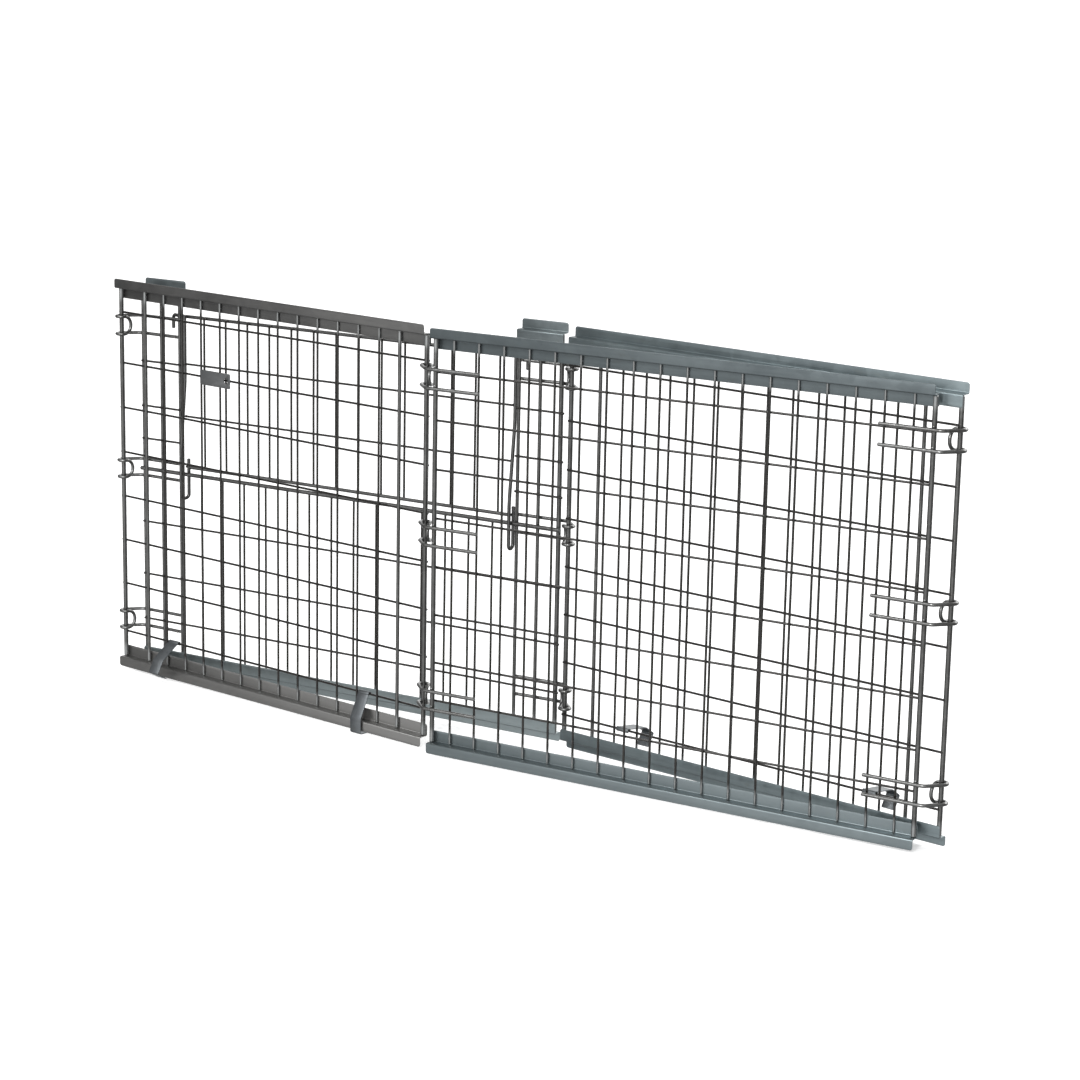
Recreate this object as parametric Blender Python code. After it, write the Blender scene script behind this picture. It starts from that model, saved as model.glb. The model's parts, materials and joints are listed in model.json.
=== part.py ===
"""Folding ring of four welded-wire walls for a stackable kennel cage.

Two plain short walls and two long walls are joined at their corners by wire
hinges, so the ring folds flat as a parallelogram.  One long wall has a
drop-down door.  Every wall carries a Z-section sheet-metal rail top and
bottom.  Metres, +X along the long walls, the plain long wall at -Y, +Z up.
"""
import math

import bmesh
import bpy
from mathutils import Vector

# ---------------------------------------------------------------- dimensions
PITCH = 0.0381                 # spacing of the thin vertical wires
ROW_PITCH = 0.0660             # spacing of the horizontal wires
FOLD = math.radians(8.93)      # angle between short and long walls at rest
SHORT_GAP = 0.0490             # post to first inner wire, short walls
SHORT = 13 * PITCH + 2 * SHORT_GAP
LONG_GAP = 0.0272              # post to first inner wire, plain long wall
LONG = 17 * PITCH + 2 * LONG_GAP
HINGE_OUT = 0.0260             # long wall's post to hinge axis, along the wall
HINGE_IN = 0.0183              # long wall's plane to hinge axis, inward
CENTRE = Vector((0.05800, 0.06722, 0.0))     # bounding-box centre of the ring

R_THIN, R_HEAVY, R_POST, R_HINGE = 0.0016, 0.0025, 0.0033, 0.0024
R_BAR = 0.0029
GAP = 0.0003                   # gap left between pieces that touch
WELD = 0.0003                  # depth that crossing wires sink together
N_FACE = -0.0034               # plane behind the verticals, measured outward

Z_BASE = 0.0040                # underside of the bottom rails
LIP, FLANGE, SHEET, WEB = 0.0140, 0.0165, 0.0012, 0.0104
Z_TOP = 0.5820                 # top edge of the top rails
Z_WEB_LOW = Z_BASE + LIP       # web of a bottom rail
Z_WEB_HIGH = Z_TOP - LIP       # web of a top rail
ROWS_MID = [0.4575 - ROW_PITCH * i for i in range(6)]
ROWS_SHORT = [0.5320] + ROWS_MID + [0.0545]
ROWS_LONG = [0.5220] + ROWS_MID + [0.0750]
LEG_PAIRS = {"top": (0.5265, 0.5010), "middle": (0.3145, 0.2900), "bottom": (0.0870, 0.0620)}

Z_BAR = 0.3035                 # crossbar the door turns about
DOOR_LEFT, DOOR_RIGHT = 0.0750, 0.6312
DOOR_TOP, DOOR_BOTTOM = 0.5325, 0.3142
DOOR_ROWS = (0.4650, 0.3885)
J_BOTTOM, J_TIP = 0.2680, 0.3260

DOOR_PLANE = -0.0008           # door's wires, measured outward
DOOR_FIRST, DOOR_STEP, DOOR_COUNT = 0.1100, 0.0382, 14
DOOR_LOW_START = DOOR_LEFT + 0.0090          # bottom wire clears the turned J
J_TWIST = {"left": math.radians(25), "right": 0.0}   # J-ends turned toward the wall's end
HOOKS = ((0.0462, 1), (0.6432, -1))          # door's end hooks and the way inward
HOOK_OUT, HOOK_DROP = 0.0105, 0.0200

TAILS = {                      # rows run this far past the first and the last post
    "front_left": (0.0095, 0.0012), "front_right": (0.0055, 0.0012),
    "back_right": (0.0012, 0.0012), "back_left": (0.0012, 0.0075),
}
SIDE_LEFT = (0.0, 0.0330, 0.0660)            # uprights beside the door
SIDE_RIGHT = (0.6370, 0.6700, LONG)
SIDE_ROWS = (0.4625, 0.3965, 0.3480)
LOWER_ROWS = (0.2240, 0.1450, 0.0770)
LOWER_COUNT = 14               # thin uprights under the crossbar
STUB_LEFT, STUB_RIGHT = 0.0690, 0.6340       # inner ends of the short top rails

REACH, REACH_MID, REACH_SHORT = 0.0700, 0.0670, 0.0590    # length of the hinge legs
LEG_RUN = 0.0120               # hinge legs run on past the end post before they turn in
LEG_RAISE = {"hinge_front_mid_bottom": 0.0027}   # legs that sit higher than the others
LOOP_CLEAR = 0.0013            # hinge loop to post
LOOP_START, LOOP_END = 130, 345
BOW_DEPTH = 0.0112             # bow that joins a hinge's two loops
BOW_LEAN = math.radians(75)    # its direction, turned outward from the wall's

CLIP_WIDTH, CLIP_SHEET = 0.0195, 0.0012
CLIP_SWING = {"clip_1": 30.0, "clip_2": 0.0, "clip_3": 56.0, "clip_4": 56.0}
CLIP_START = {"clip_1": SHORT_GAP + PITCH + 0.0025, "clip_2": SHORT_GAP + 11 * PITCH + 0.0025,
              "clip_3": SHORT_GAP + 11 * PITCH + 0.0110, "clip_4": SHORT_GAP + PITCH + 0.0025}
CLIP_KNEE, CLIP_FOOT = 0.0335, 0.0205        # height of the knee, length of the foot

PLATE_LOW, PLATE_HIGH = (0.1660, 0.4478), (0.2260, 0.4692)
PLATE_FACE, PLATE_SHEET = 0.0022, 0.0010
HOLE_RADIUS, HOLE_INSET, HOLE_SIDES = 0.0038, 0.0085, 16

SLIM = 0.97                    # shapes bent by hand, across their flats
UP = Vector((0, 0, 1))
STEEL = (0.50, 0.52, 0.53)


# ------------------------------------------------------------------- helpers
def clear_scene():
    for obj in list(bpy.data.objects):
        bpy.data.objects.remove(obj, do_unlink=True)


class Wall:
    """Local frame of one wall: u along it, n outward, z up."""

    def __init__(self, origin, along, outward):
        self.origin, self.along, self.outward = Vector(origin), Vector(along), Vector(outward)

    def at(self, u, n, z):
        return self.origin + self.along * u + self.outward * n + UP * z


SIN, COS = math.sin(FOLD), math.cos(FOLD)
TO_LEFT = Vector((-COS, SIN, 0))
AXIS_MF = Vector((-HINGE_OUT, HINGE_IN, 0)) - CENTRE
AXIS_R = AXIS_MF + Vector((LONG + 2 * HINGE_OUT, 0, 0))
AXIS_L = AXIS_MF + TO_LEFT * SHORT
AXIS_MB = AXIS_R + TO_LEFT * SHORT
WALLS = {
    "front_right": Wall(-CENTRE, (1, 0, 0), (0, -1, 0)),
    "front_left": Wall(AXIS_L, -TO_LEFT, (-SIN, -COS, 0)),
    "back_right": Wall(AXIS_R, TO_LEFT, (SIN, COS, 0)),
    "back_left": Wall(AXIS_L + Vector((HINGE_OUT, HINGE_IN, 0)), (1, 0, 0), (0, 1, 0)),
}


def material(name, colour=STEEL, rough=0.42):
    mat = bpy.data.materials.new(name)
    mat.use_nodes = True
    bsdf = mat.node_tree.nodes["Principled BSDF"]
    bsdf.inputs["Base Color"].default_value = (*colour, 1.0)
    bsdf.inputs["Metallic"].default_value = 0.9
    bsdf.inputs["Roughness"].default_value = rough
    return mat


def to_object(name, bm, pivot, tint=STEEL):
    """Turn a bmesh in world coordinates into an object whose origin is pivot."""
    bmesh.ops.recalc_face_normals(bm, faces=bm.faces)
    bmesh.ops.translate(bm, verts=bm.verts, vec=-Vector(pivot))
    mesh = bpy.data.meshes.new(name)
    bm.to_mesh(mesh)
    bm.free()
    obj = bpy.data.objects.new(name, mesh)
    obj.location = pivot
    bpy.context.scene.collection.objects.link(obj)
    mesh.materials.append(material(name, tint))
    return obj


def sweep(bm, points, radius, flat, sides=6):
    """Sweep a regular polygon along a path of points and cap both ends.

    radius is half the width across its flats, and flat is the direction one
    side of the polygon faces at the start."""
    count = len(points)
    first = (points[1] - points[0]).normalized()
    ref = (flat - first * flat.dot(first)).normalized()
    circum = radius / math.cos(math.pi / sides)
    rings, previous = [], first
    for i, point in enumerate(points):
        before = (point - points[i - 1]).normalized() if i else first
        after = (points[i + 1] - point).normalized() if i < count - 1 else before
        tangent = (before + after).normalized()
        ref.rotate(previous.rotation_difference(tangent))
        previous = tangent
        side = tangent.cross(ref).normalized()
        stretch = 1.0 / max(0.5, tangent.dot(after))
        bend = after - before
        axis = bend.normalized() if bend.length > 1e-6 else None
        ring = []
        for k in range(sides):
            angle = 2 * math.pi * (k + 0.5) / sides
            offset = ref * math.cos(angle) * circum + side * math.sin(angle) * circum
            if axis is not None:
                offset += axis * offset.dot(axis) * (stretch - 1)
            ring.append(bm.verts.new(point + offset))
        rings.append(ring)
    for a, b in zip(rings, rings[1:]):
        for k in range(sides):
            bm.faces.new((a[k], a[(k + 1) % sides], b[(k + 1) % sides], b[k]))
    bm.faces.new(list(reversed(rings[0])))
    bm.faces.new(rings[-1])
    return bm


def extrude_profile(bm, sections):
    """Skin closed sections of equal length and cap both ends."""
    rings = [[bm.verts.new(p) for p in section] for section in sections]
    n = len(rings[0])
    for a, b in zip(rings, rings[1:]):
        for k in range(n):
            bm.faces.new((a[k], a[(k + 1) % n], b[(k + 1) % n], b[k]))
    bm.faces.new(list(reversed(rings[0])))
    bm.faces.new(rings[-1])
    return bm


def union(name, part_groups, pivot):
    """Join groups of disjoint wires, sunk into each other, as one closed body."""
    objs = []
    for index, wires in enumerate(part_groups):
        bm = bmesh.new()
        for path, radius, flat in wires:
            sweep(bm, path, radius, flat)
        objs.append(to_object(name + "_" + str(index), bm, pivot))
    base = objs[0]
    for other in objs[1:]:
        mod = base.modifiers.new("weld", "BOOLEAN")
        mod.operation, mod.solver, mod.object = "UNION", "EXACT", other
        depsgraph = bpy.context.evaluated_depsgraph_get()
        mesh = bpy.data.meshes.new_from_object(base.evaluated_get(depsgraph))
        base.modifiers.clear()
        base.data = mesh
        bpy.data.objects.remove(other, do_unlink=True)
    base.name = name
    base.data.name = name
    base.data.materials.clear()
    base.data.materials.append(material(name))
    return base


def grid(name, wall, uprights, rows, pivot):
    """Weld upright wires (u, radius, z0, z1) to rows (z, radius, u0, u1)."""
    out = wall.outward
    ups = [([wall.at(u, N_FACE + r, z0), wall.at(u, N_FACE + r, z1)], r, out)
           for u, r, z0, z1 in uprights]
    across = [([wall.at(u0, N_FACE + WELD - r, z), wall.at(u1, N_FACE + WELD - r, z)], r, out)
              for z, r, u0, u1 in rows]
    return union(name, (ups, across), pivot)


def rail(name, wall, u0, u1, top, pivot):
    """Z-section rail: flange behind the wires, web outward, lip beyond it."""
    a, b = N_FACE - GAP - SHEET, N_FACE - GAP
    c, d = WEB - SHEET, WEB
    sign, zw = (1, Z_WEB_HIGH) if top else (-1, Z_WEB_LOW)
    zin, zout = zw, zw + sign * SHEET          # web surfaces, wire side and lip side
    zf, lip = zw + sign * (SHEET - FLANGE), zw + sign * LIP
    corner = 0.0035

    def section(u, cut):
        lip_z = lip - sign * cut
        pts = [(a, zf), (b, zf), (b, zin), (d, zin), (d, lip_z), (c, lip_z), (c, zout), (a, zout)]
        return [wall.at(u, n, z) for n, z in pts]

    steps = [(0.0, corner), (corner * 0.3, corner * 0.3), (corner, 0.0)]
    sections = [section(u0 + along, cut) for along, cut in steps]
    sections += [section(u1 - along, cut) for along, cut in reversed(steps)]
    bm = extrude_profile(bmesh.new(), sections)
    return to_object(name, bm, pivot)


def arc(centre, a_dir, b_dir, radius, start, stop, steps):
    """Points on a circle spanned by a_dir and b_dir, angles in degrees."""
    pts = []
    for i in range(steps + 1):
        t = math.radians(start + (stop - start) * i / steps)
        pts.append(centre + a_dir * math.cos(t) * radius + b_dir * math.sin(t) * radius)
    return pts


def hinge_form(name, wall, at_start, legs, post, reach, pivot):
    """Wire hinge: two legs on the long wall, each looped round the short wall's post."""
    toward = wall.along if at_start else -wall.along
    out = wall.outward
    corner = wall.at(0.0 if at_start else LONG, 0, 0)
    loop = R_POST + R_HINGE + LOOP_CLEAR
    seat = N_FACE + 2 * R_POST + R_HINGE + GAP + 0.0001      # in front of the end post
    tail = N_FACE + 2 * R_THIN + R_HINGE + GAP + 0.0018      # in front of the thin wires
    z_hi, z_lo = (z + LEG_RAISE.get(name, 0.0) for z in legs)

    def leg(z):
        pts = [corner + toward * reach + out * tail, corner + out * seat,
               corner - toward * LEG_RUN + out * (seat - 0.0006)]
        pts = [p + UP * z for p in pts]
        return pts + arc(post + UP * z, toward, out, loop, LOOP_START, LOOP_END, 9)

    upper, lower = leg(z_hi), leg(z_lo)
    lean = toward * math.cos(BOW_LEAN) + out * math.sin(BOW_LEAN)
    half = (z_hi - z_lo) / 2
    middle = (upper[-1] + lower[-1]) / 2
    turns = [math.pi * k / 8 for k in range(1, 8)]
    bow = [middle + UP * half * math.cos(t) + lean * BOW_DEPTH * math.sin(t) for t in turns]
    path = upper + bow + lower[::-1]
    bm = sweep(bmesh.new(), path, R_HINGE * SLIM, out)
    return to_object(name, bm, pivot)


def strip(bm, wall, profile, u0, u1, thick):
    """Bend a sheet strip of width u0..u1 through (n, z) points."""
    pts = [Vector((n, z)) for n, z in profile]
    left, right = [], []
    for i, p in enumerate(pts):
        before = (p - pts[i - 1]).normalized() if i else (pts[1] - p).normalized()
        after = (pts[i + 1] - p).normalized() if i < len(pts) - 1 else before
        tangent = (before + after).normalized()
        normal = Vector((-tangent.y, tangent.x)) * thick / 2 / max(0.4, tangent.dot(after))
        left.append(p + normal)
        right.append(p - normal)
    outline = left + right[::-1]
    return extrude_profile(bm, [[wall.at(u, q.x, q.y) for q in outline] for u in (u0, u1)])


def clip(name, wall):
    """Sheet strap wrapped on the lowest row, hooking under the rail lip when closed."""
    row_n, row_z = N_FACE + WELD - R_THIN, ROWS_SHORT[-1]
    swing = math.radians(CLIP_SWING[name])
    ring = R_THIN + 2 * GAP + CLIP_SHEET / 2
    curl = [(ring * math.cos(math.radians(t)), ring * math.sin(math.radians(t)))
            for t in range(187, -76, -29)]
    lower = WEB + 0.0030 - row_n           # strap's plane outside the rail lip
    foot = CLIP_SHEET / 2 - row_z
    profile = curl[:-1] + [(ring, -0.0012), (lower - 0.0012, 0.0035 - CLIP_KNEE), (lower, -CLIP_KNEE),
                           (lower, foot + 0.0018), (lower - 0.0018, foot), (lower - CLIP_FOOT, foot)]
    turned = []
    for n, z in profile:
        turned.append((row_n + n * math.cos(swing) - z * math.sin(swing),
                       row_z + n * math.sin(swing) + z * math.cos(swing)))
    u0 = CLIP_START[name]
    bm = strip(bmesh.new(), wall, turned, u0, u0 + CLIP_WIDTH, CLIP_SHEET)
    return to_object(name, bm, wall.at(0, row_n, row_z))


def short_wall(side, pivot):
    wall = WALLS[side]
    z0, z1 = Z_WEB_LOW + GAP, Z_WEB_HIGH - GAP
    us = [SHORT_GAP + PITCH * i for i in range(14)]
    uprights = [(0.0, R_POST, z0, z1), (SHORT, R_POST, z0, z1)]
    uprights += [(u, R_HEAVY if i in (0, 13) else R_THIN, z0, z1) for i, u in enumerate(us)]
    start, end = TAILS[side]
    rows = [(z, R_THIN, -start, SHORT + end) for z in ROWS_SHORT]
    grid(side + "_mesh", wall, uprights, rows, pivot)
    rail(side + "_top_rail", wall, -R_POST, SHORT + R_POST, True, pivot)
    rail(side + "_bottom_rail", wall, -R_POST, SHORT + R_POST, False, pivot)


def plain_long_wall(pivot):
    wall = WALLS["front_right"]
    z0, z1 = Z_WEB_LOW + GAP, Z_WEB_HIGH - GAP
    uprights = [(0.0, R_POST, z0, z1), (LONG, R_POST, z0, z1)]
    uprights += [(LONG_GAP + PITCH * i, R_THIN, z0, z1) for i in range(18)]
    start, end = TAILS["front_right"]
    rows = [(z, R_THIN, -start, LONG + end) for z in ROWS_LONG]
    grid("front_right_mesh", wall, uprights, rows, pivot)
    rail("front_right_top_rail", wall, -R_POST, LONG + R_POST, True, pivot)
    rail("front_right_bottom_rail", wall, -R_POST, LONG + R_POST, False, pivot)


def door_wall(pivot):
    wall = WALLS["back_left"]
    z0, z1 = Z_WEB_LOW + GAP, Z_WEB_HIGH - GAP
    left_end, right_end = SIDE_LEFT[-1], SIDE_RIGHT[0]
    start, end = TAILS["back_left"]
    sides = (("left", SIDE_LEFT, -start, left_end + 0.0045),
             ("right", SIDE_RIGHT, right_end - R_HEAVY, LONG + end))
    for name, places, u0, u1 in sides:
        uprights = [(u, R_POST if u in (0.0, LONG) else R_HEAVY, z0, z1) for u in places]
        grid("back_left_side_" + name, wall, uprights, [(z, R_THIN, u0, u1) for z in SIDE_ROWS], pivot)

    step = (right_end - left_end) / (LOWER_COUNT + 1)
    places = [left_end + step * (i + 1) for i in range(LOWER_COUNT)]
    out, thin_n, low_top = wall.outward, N_FACE + R_THIN, Z_BAR - 0.0035
    ups = [([wall.at(u, thin_n, z0), wall.at(u, thin_n, low_top)], R_THIN, out) for u in places]
    deep, shallow = N_FACE - GAP - R_THIN, N_FACE + WELD - R_THIN
    jog_in, jog_out = left_end + 0.0085, left_end + 0.0200   # rows pass behind the side wires
    across = []
    for z in LOWER_ROWS:
        path = [(-start, deep), (jog_in, deep), (jog_out, shallow),
                (left_end + right_end - jog_out, shallow), (left_end + right_end - jog_in, deep),
                (LONG + end, deep)]
        across.append(([wall.at(u, n, z) for u, n in path], R_THIN, out))
    union("back_left_lower_mesh", (ups, across), pivot)
    rail("back_left_top_stub_left", wall, -R_POST, STUB_LEFT, True, pivot)
    rail("back_left_top_stub_right", wall, STUB_RIGHT, LONG + R_POST, True, pivot)
    rail("back_left_bottom_rail", wall, -R_POST, LONG + R_POST, False, pivot)


def door():
    wall = WALLS["back_left"]
    out = wall.outward
    bar_n = N_FACE - GAP - R_BAR
    pivot = wall.at(LONG / 2, bar_n, Z_BAR)
    bar_ends = [wall.at(u, bar_n, Z_BAR) for u in (-R_POST, LONG + 2 * R_POST)]
    to_object("crossbar", sweep(bmesh.new(), bar_ends, R_BAR * SLIM, out, sides=8), pivot)

    inner_n = bar_n - R_BAR - GAP - R_HEAVY
    outer_n = bar_n + R_BAR + GAP + R_HEAVY
    half = (outer_n - inner_n) / 2
    for side, u in (("left", DOOR_LEFT), ("right", DOOR_RIGHT)):
        straight = [wall.at(u, DOOR_PLANE, DOOR_TOP + 0.0030), wall.at(u, DOOR_PLANE, 0.4400),
                    wall.at(u, inner_n, 0.3330)]
        twist = J_TWIST[side]
        across = (out + wall.along * math.tan(twist)) * half       # from the long leg to mid-J
        foot = wall.at(u, inner_n, J_BOTTOM + half) + across
        turns = [math.pi * k / 8 for k in range(9)]
        path = straight + [foot - across * math.cos(t) - UP * half * math.sin(t) for t in turns]
        path.append(foot + across + UP * (J_TIP - J_BOTTOM - half))
        to_object("door_rod_" + side, sweep(bmesh.new(), path, R_HEAVY * SLIM, wall.along), pivot)

    places = [DOOR_FIRST + DOOR_STEP * i for i in range(DOOR_COUNT)]
    z0, z1 = DOOR_BOTTOM - 0.0015, DOOR_TOP + 0.0022
    ups = [([wall.at(u, DOOR_PLANE, z0), wall.at(u, DOOR_PLANE, z1)], R_THIN, out) for u in places]
    clear = R_HEAVY + GAP
    across = []
    wires = [(z, R_THIN, DOOR_LEFT + clear) for z in DOOR_ROWS] + [(DOOR_BOTTOM, R_HEAVY, DOOR_LOW_START)]
    for z, radius, start in wires:
        row_n = DOOR_PLANE - R_THIN - radius + WELD
        ends = [wall.at(u, row_n, z) for u in (start, DOOR_RIGHT - clear)]
        across.append((ends, radius, out))
    union("door_mesh", (ups, across), pivot)

    wire_n = DOOR_PLANE + 2 * R_HEAVY + GAP
    path = []
    for u, way in HOOKS:
        end = [wall.at(u, HOOK_OUT, DOOR_TOP - HOOK_DROP), wall.at(u, HOOK_OUT, DOOR_TOP - 0.0030),
               wall.at(u + way * 0.0030, HOOK_OUT, DOOR_TOP),
               wall.at(u + way * 0.0120, wire_n + 0.0006, DOOR_TOP)]
        path += end if way > 0 else end[::-1]
    to_object("door_top_wire", sweep(bmesh.new(), path, R_HEAVY * SLIM, out), pivot)


def tag_plate(pivot):
    """Small sheet plate hung on a row of the front-left wall, with a round hole."""
    wall = WALLS["front_left"]
    (u0, z0), (u1, z1) = PLATE_LOW, PLATE_HIGH
    hole_u, hole_z = u1 - HOLE_INSET, (z0 + z1) / 2
    turns = [2 * math.pi * k / HOLE_SIDES for k in range(HOLE_SIDES)]
    bm = bmesh.new()
    boxes, rings = [], []
    for n in (PLATE_FACE, PLATE_FACE + PLATE_SHEET):
        boxes.append([bm.verts.new(wall.at(u, n, z)) for u, z in ((u1, z1), (u0, z1), (u0, z0), (u1, z0))])
        rings.append([bm.verts.new(wall.at(hole_u + HOLE_RADIUS * math.cos(t), n,
                                           hole_z + HOLE_RADIUS * math.sin(t))) for t in turns])
    for (near, far), count in ((boxes, 4), (rings, HOLE_SIDES)):
        for k in range(count):
            after = (k + 1) % count
            bm.faces.new((near[k], near[after], far[after], far[k]))
    quarter = HOLE_SIDES // 4
    for box, ring in zip(boxes, rings):
        for q in range(4):
            reach = [ring[(q * quarter + k) % HOLE_SIDES] for k in range(quarter + 1)]
            for first, second in zip(reach, reach[1:]):
                bm.faces.new((box[q], first, second))
            bm.faces.new((box[q], reach[-1], box[(q + 1) % 4]))
    return to_object("tag_plate", bm, pivot)


def main():
    clear_scene()
    root = Vector((0, 0, 0))
    plain_long_wall(root)
    short_wall("front_left", AXIS_MF)
    short_wall("back_right", AXIS_R)
    door_wall(AXIS_MB)
    door()
    corners = (("front_mid", "front_right", True, AXIS_MF, REACH, root),
               ("front_right", "front_right", False, AXIS_R, REACH, root),
               ("back_left", "back_left", True, AXIS_L, REACH_SHORT, AXIS_MB),
               ("back_mid", "back_left", False, AXIS_MB, REACH_MID, AXIS_MB))
    for level, legs in LEG_PAIRS.items():
        for corner, side, at_start, post, reach, pivot in corners:
            hinge_form("hinge_" + corner + "_" + level, WALLS[side], at_start, legs, post, reach, pivot)
    for name, side in (("clip_1", "front_left"), ("clip_2", "front_left"),
                       ("clip_3", "back_right"), ("clip_4", "back_right")):
        clip(name, WALLS[side])
    tag_plate(AXIS_MF)


main()
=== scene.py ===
"""Visible model of a folding ring of welded-wire kennel walls.

Every piece is built in the local frame of its wall (u along the wall, n
outward, z up) with bmesh operators, set in place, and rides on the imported
body that the CAD node it stands for belongs to.
"""
from __future__ import annotations

import json
import logging
import math
import random
from dataclasses import dataclass, field
from enum import Enum
from typing import Iterable, Sequence

import bmesh
import bpy
from mathutils import Matrix, Vector

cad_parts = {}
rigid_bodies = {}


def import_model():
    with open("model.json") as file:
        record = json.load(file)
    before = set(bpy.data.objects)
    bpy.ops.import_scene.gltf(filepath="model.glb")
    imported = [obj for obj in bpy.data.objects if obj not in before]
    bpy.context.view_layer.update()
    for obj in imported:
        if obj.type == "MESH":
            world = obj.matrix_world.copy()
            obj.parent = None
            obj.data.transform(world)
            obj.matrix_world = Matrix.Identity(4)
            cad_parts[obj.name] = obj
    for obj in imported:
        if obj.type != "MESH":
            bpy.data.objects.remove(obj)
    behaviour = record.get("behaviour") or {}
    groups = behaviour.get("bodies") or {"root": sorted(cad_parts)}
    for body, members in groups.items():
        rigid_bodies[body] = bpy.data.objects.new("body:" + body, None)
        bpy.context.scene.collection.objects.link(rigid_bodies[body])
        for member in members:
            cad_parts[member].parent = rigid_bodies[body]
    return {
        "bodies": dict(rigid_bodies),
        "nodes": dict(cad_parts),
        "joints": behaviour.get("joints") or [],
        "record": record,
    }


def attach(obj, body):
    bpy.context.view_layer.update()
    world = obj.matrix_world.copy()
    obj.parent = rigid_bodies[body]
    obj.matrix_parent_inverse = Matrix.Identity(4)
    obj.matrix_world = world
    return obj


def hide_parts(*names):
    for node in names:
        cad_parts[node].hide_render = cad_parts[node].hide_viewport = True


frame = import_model()

LOG = logging.getLogger("kennel_ring")
UP = Vector((0.0, 0.0, 1.0))
MM = 0.001


# --------------------------------------------------------------------- sizes
@dataclass(frozen=True)
class RingSizes:
    """Driving sizes of the whole ring, in metres and radians."""

    pitch: float = 0.0381
    row_pitch: float = 0.0660
    fold: float = math.radians(8.93)
    short_gap: float = 0.0490
    long_gap: float = 0.0272
    hinge_out: float = 0.0260
    hinge_in: float = 0.0183
    centre_x: float = 0.05800
    centre_y: float = 0.06722
    thin: float = 0.0016
    heavy: float = 0.0025
    post: float = 0.0033
    hinge: float = 0.0024
    bar: float = 0.0029
    touch: float = 0.0003
    face_n: float = -0.0034
    base: float = 0.0040
    lip: float = 0.0140
    flange: float = 0.0165
    sheet: float = 0.0012
    web: float = 0.0104
    top: float = 0.5820

    @property
    def short(self) -> float:
        """Post to post along a short wall."""
        return 13 * self.pitch + 2 * self.short_gap

    @property
    def long(self) -> float:
        """Post to post along a long wall."""
        return 17 * self.pitch + 2 * self.long_gap

    @property
    def web_low(self) -> float:
        """Height of a bottom rail's web on the lip side."""
        return self.base + self.lip

    @property
    def web_high(self) -> float:
        """Height of a top rail's web on the wire side."""
        return self.top - self.lip

    @property
    def mid_rows(self) -> list[float]:
        """Heights of the rows that every plain wall shares."""
        return [0.4575 - self.row_pitch * i for i in range(6)]


SIZES = RingSizes()


class Side(Enum):
    """The four walls of the ring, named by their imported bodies."""

    FRONT_RIGHT = "front_right"
    FRONT_LEFT = "front_left"
    BACK_RIGHT = "back_right"
    BACK_LEFT = "back_left"


class Level(Enum):
    """Heights of the two legs of a corner hinge."""

    TOP = (0.5265, 0.5010)
    MIDDLE = (0.3145, 0.2900)
    BOTTOM = (0.0870, 0.0620)


@dataclass(frozen=True)
class WallFrame:
    """Local frame of one wall."""

    origin: Vector
    along: Vector
    outward: Vector

    def matrix(self) -> Matrix:
        """Matrix from (u, n, z) to the row frame."""
        made = Matrix((self.along, self.outward, UP)).transposed().to_4x4()
        made.translation = self.origin
        return made

    def at(self, u: float, n: float, z: float) -> Vector:
        """Point of the row frame at local (u, n, z)."""
        return self.origin + self.along * u + self.outward * n + UP * z


@dataclass(frozen=True)
class RingLayout:
    """Corner axes and wall frames at rest."""

    sizes: RingSizes = SIZES

    def corner(self, name: str) -> Vector:
        """Foot of a corner's hinge axis.

        Args:
            name: front_mid, front_right, back_left or back_mid.

        Returns:
            The axis point at floor level.
        """
        s = self.sizes
        front_mid = Vector((-s.hinge_out - s.centre_x, s.hinge_in - s.centre_y, 0.0))
        front_right = front_mid + Vector((s.long + 2 * s.hinge_out, 0.0, 0.0))
        turn = self.short_way() * s.short
        return {
            "front_mid": front_mid,
            "front_right": front_right,
            "back_left": front_mid + turn,
            "back_mid": front_right + turn,
        }[name]

    def short_way(self) -> Vector:
        """Direction of the short walls, from the front to the back corners."""
        return Vector((-math.cos(self.sizes.fold), math.sin(self.sizes.fold), 0.0))

    def wall(self, side: Side) -> WallFrame:
        """Local frame of a wall."""
        s, way = self.sizes, self.short_way()
        across = Vector((math.sin(s.fold), math.cos(s.fold), 0.0))
        if side is Side.FRONT_RIGHT:
            return WallFrame(Vector((-s.centre_x, -s.centre_y, 0.0)), Vector((1, 0, 0)), Vector((0, -1, 0)))
        if side is Side.FRONT_LEFT:
            return WallFrame(self.corner("back_left"), -way, -across)
        if side is Side.BACK_RIGHT:
            return WallFrame(self.corner("front_right"), way, across)
        start = self.corner("back_left") + Vector((s.hinge_out, s.hinge_in, 0.0))
        return WallFrame(start, Vector((1, 0, 0)), Vector((0, 1, 0)))


LAYOUT = RingLayout()


# ------------------------------------------------------------------- shading
class Socket:
    """A node output, or a plain number, that takes part in shader maths."""

    def __init__(self, graph: "ShaderGraph", source: object) -> None:
        """Keep the graph and its output."""
        self.graph, self.source = graph, source

    def _math(self, operation: str, *values: object) -> "Socket":
        """Math node on this graph."""
        inputs = {i: v for i, v in enumerate(values)}
        return self.graph.node("ShaderNodeMath", {"operation": operation}, inputs)

    def __add__(self, other: object) -> "Socket":
        """Sum."""
        return self._math("ADD", self, other)

    def __radd__(self, other: object) -> "Socket":
        """Reflected sum."""
        return self._math("ADD", other, self)

    def __sub__(self, other: object) -> "Socket":
        """Difference."""
        return self._math("SUBTRACT", self, other)

    def __rsub__(self, other: object) -> "Socket":
        """Reflected difference."""
        return self._math("SUBTRACT", other, self)

    def __mul__(self, other: object) -> "Socket":
        """Product."""
        return self._math("MULTIPLY", self, other)

    def __rmul__(self, other: object) -> "Socket":
        """Reflected product."""
        return self._math("MULTIPLY", other, self)


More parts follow.
